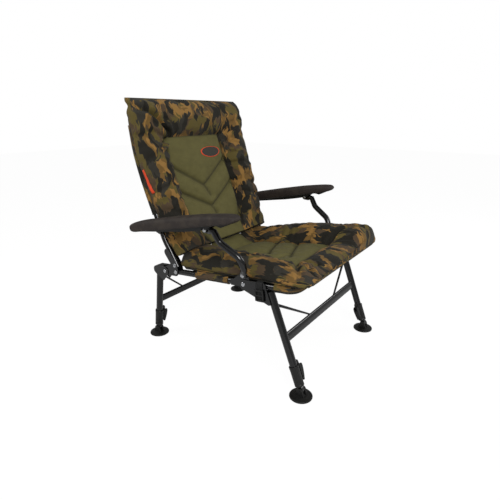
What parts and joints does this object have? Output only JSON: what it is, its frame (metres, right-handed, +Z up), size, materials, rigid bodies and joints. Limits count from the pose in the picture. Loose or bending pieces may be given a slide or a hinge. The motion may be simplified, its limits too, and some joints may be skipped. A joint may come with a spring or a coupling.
{
  "type": "folding fishing chair",
  "caption": "Low folding fishing chair with a padded camouflage mattress, reclined back, level swinging armrests and telescopic legs on swivelling mud feet.",
  "frame": {"origin": "on the ground under the centre of the bounding box", "axes": "+Z up, -Y the way the sitter faces, +X the sitter's left"},
  "size_m": [0.684, 0.7594, 0.8875],
  "materials": {
    "black_paint": "satin black powder coat",
    "zinc_rivet": "bright zinc plate",
    "dark_plastic": "moulded matt dark grey",
    "arm_foam": "matt dark brown soft pad",
    "camo_cloth": "olive centre panel in a woodland camouflage border",
    "sling_cloth": "coarse woven camouflage cloth",
    "webbing": "ribbed black webbing",
    "patch_cloth": "plain dark patch with an orange edge",
    "tab_cloth": "plain orange ribbon"
  },
  "bodies": {
    "seat": {"seat_frame": "black_paint", "seat_sling": "sling_cloth", "seat_cushion": "camo_cloth", "rear_hinge_plate_left": "black_paint", "rear_hinge_plate_right": "black_paint", "arm_bracket_left": "black_paint", "arm_bracket_right": "black_paint", "pad_strap_left": "webbing", "pad_strap_right": "webbing", "strap_buckle_left": "dark_plastic", "strap_buckle_right": "dark_plastic", "back_pivot_rivet_left": "zinc_rivet", "back_pivot_rivet_right": "zinc_rivet", "rear_leg_rivet_left": "zinc_rivet", "rear_leg_rivet_right": "zinc_rivet", "front_leg_rivet_left": "zinc_rivet", "front_leg_rivet_right": "zinc_rivet", "arm_lower_rivet_left": "zinc_rivet", "arm_lower_rivet_right": "zinc_rivet"},
    "back": {"back_frame": "black_paint", "back_sling": "sling_cloth", "back_cushion": "camo_cloth", "arm_hinge_ear_left": "black_paint", "arm_hinge_ear_right": "black_paint", "badge_patch": "patch_cloth", "side_tab": "tab_cloth"},
    "arm_support_left": {"arm_support_left": "black_paint"},
    "armrest_left": {"armrest_base_left": "dark_plastic", "armrest_pad_left": "arm_foam", "arm_upper_rivet_left": "zinc_rivet"},
    "arm_support_right": {"arm_support_right": "black_paint"},
    "armrest_right": {"armrest_base_right": "dark_plastic", "armrest_pad_right": "arm_foam", "arm_upper_rivet_right": "zinc_rivet"},
    "front_legs": {"front_leg_tube_left": "black_paint", "front_leg_tube_right": "black_paint", "front_cross_bar": "black_paint", "front_gusset_left": "black_paint", "front_gusset_right": "black_paint", "front_leg_clamp_left": "dark_plastic", "front_leg_clamp_right": "dark_plastic"},
    "front_clamp_lever_left": {"front_clamp_lever_left": "dark_plastic"},
    "front_inner_leg_left": {"front_inner_leg_left": "black_paint"},
    "front_mud_foot_left": {"front_mud_foot_left": "dark_plastic"},
    "front_clamp_lever_right": {"front_clamp_lever_right": "dark_plastic"},
    "front_inner_leg_right": {"front_inner_leg_right": "black_paint"},
    "front_mud_foot_right": {"front_mud_foot_right": "dark_plastic"},
    "rear_legs": {"rear_leg_tube_left": "black_paint", "rear_leg_tube_right": "black_paint", "rear_cross_bar": "black_paint", "rear_leg_bracket_left": "black_paint", "rear_leg_bracket_right": "black_paint", "rear_leg_clamp_left": "dark_plastic", "rear_leg_clamp_right": "dark_plastic"},
    "rear_clamp_lever_left": {"rear_clamp_lever_left": "dark_plastic"},
    "rear_inner_leg_left": {"rear_inner_leg_left": "black_paint"},
    "rear_mud_foot_left": {"rear_mud_foot_left": "dark_plastic"},
    "rear_clamp_lever_right": {"rear_clamp_lever_right": "dark_plastic"},
    "rear_inner_leg_right": {"rear_inner_leg_right": "black_paint"},
    "rear_mud_foot_right": {"rear_mud_foot_right": "dark_plastic"}
  },
  "joints": [
    {"name": "back_fold", "type": "hinge", "parent": "seat", "child": "back", "pos_m": [0, 0.18928, 0.32796], "axis": [1, 0, 0], "range_deg": [0, 85], "deforming": ["seat_cushion", "back_cushion", "badge_patch", "side_tab"]},
    {"name": "arm_support_swing_left", "type": "hinge", "parent": "seat", "child": "arm_support_left", "pos_m": [0.2806, -0.13024, 0.37155], "axis": [1, 0, 0], "range_deg": [0, 85]},
    {"name": "armrest_swing_left", "type": "hinge", "parent": "back", "child": "armrest_left", "pos_m": [0.312, 0.30729, 0.46341], "axis": [1, 0, 0], "range_deg": [-85, 0]},
    {"name": "arm_support_swing_right", "type": "hinge", "parent": "seat", "child": "arm_support_right", "pos_m": [-0.2806, -0.13024, 0.37155], "axis": [1, 0, 0], "range_deg": [0, 85]},
    {"name": "armrest_swing_right", "type": "hinge", "parent": "back", "child": "armrest_right", "pos_m": [-0.312, 0.30729, 0.46341], "axis": [1, 0, 0], "range_deg": [-85, 0]},
    {"name": "front_leg_fold", "type": "hinge", "parent": "seat", "child": "front_legs", "pos_m": [0, -0.12585, 0.33793], "axis": [1, 0, 0], "range_deg": [0, 104.9]},
    {"name": "front_lever_left", "type": "hinge", "parent": "front_legs", "child": "front_clamp_lever_left", "pos_m": [0.2395, -0.314, 0.09564], "axis": [0, 0.9304, -0.3665], "range_deg": [0, 100]},
    {"name": "front_leg_slide_left", "type": "slide", "parent": "front_legs", "child": "front_inner_leg_left", "axis": [0, -0.3665, -0.9304], "range_m": [0, 0.1]},
    {"name": "front_foot_swivel_left", "type": "hinge", "parent": "front_inner_leg_left", "child": "front_mud_foot_left", "pos_m": [0.26, -0.34222, 0.024], "axis": [1, 0, 0], "range_deg": [-25, 25]},
    {"name": "front_lever_right", "type": "hinge", "parent": "front_legs", "child": "front_clamp_lever_right", "pos_m": [-0.2395, -0.314, 0.09564], "axis": [0, -0.9304, 0.3665], "range_deg": [0, 100]},
    {"name": "front_leg_slide_right", "type": "slide", "parent": "front_legs", "child": "front_inner_leg_right", "axis": [0, -0.3665, -0.9304], "range_m": [0, 0.1]},
    {"name": "front_foot_swivel_right", "type": "hinge", "parent": "front_inner_leg_right", "child": "front_mud_foot_right", "pos_m": [-0.26, -0.34222, 0.024], "axis": [1, 0, 0], "range_deg": [-25, 25]},
    {"name": "rear_leg_fold", "type": "hinge", "parent": "seat", "child": "rear_legs", "pos_m": [0, 0.24133, 0.2957], "axis": [-1, 0, 0], "range_deg": [0, 102.5]},
    {"name": "rear_lever_left", "type": "hinge", "parent": "rear_legs", "child": "rear_clamp_lever_left", "pos_m": [0.2395, 0.31326, 0.10013], "axis": [0, 0.9888, 0.1495], "range_deg": [0, 100]},
    {"name": "rear_leg_slide_left", "type": "slide", "parent": "rear_legs", "child": "rear_inner_leg_left", "axis": [0, 0.1495, -0.9888], "range_m": [0, 0.1]},
    {"name": "rear_foot_swivel_left", "type": "hinge", "parent": "rear_inner_leg_left", "child": "rear_mud_foot_left", "pos_m": [0.26, 0.32478, 0.024], "axis": [1, 0, 0], "range_deg": [-25, 25]},
    {"name": "rear_lever_right", "type": "hinge", "parent": "rear_legs", "child": "rear_clamp_lever_right", "pos_m": [-0.2395, 0.31326, 0.10013], "axis": [0, -0.9888, -0.1495], "range_deg": [0, 100]},
    {"name": "rear_leg_slide_right", "type": "slide", "parent": "rear_legs", "child": "rear_inner_leg_right", "axis": [0, 0.1495, -0.9888], "range_m": [0, 0.1]},
    {"name": "rear_foot_swivel_right", "type": "hinge", "parent": "rear_inner_leg_right", "child": "rear_mud_foot_right", "pos_m": [-0.26, 0.32478, 0.024], "axis": [1, 0, 0], "range_deg": [-25, 25]}
  ],
  "couplings": [
    {"joint": "arm_support_swing_left", "follows": "back_fold", "ratio": 1},
    {"joint": "armrest_swing_left", "follows": "back_fold", "ratio": -1},
    {"joint": "arm_support_swing_right", "follows": "back_fold", "ratio": 1},
    {"joint": "armrest_swing_right", "follows": "back_fold", "ratio": -1}
  ]
}
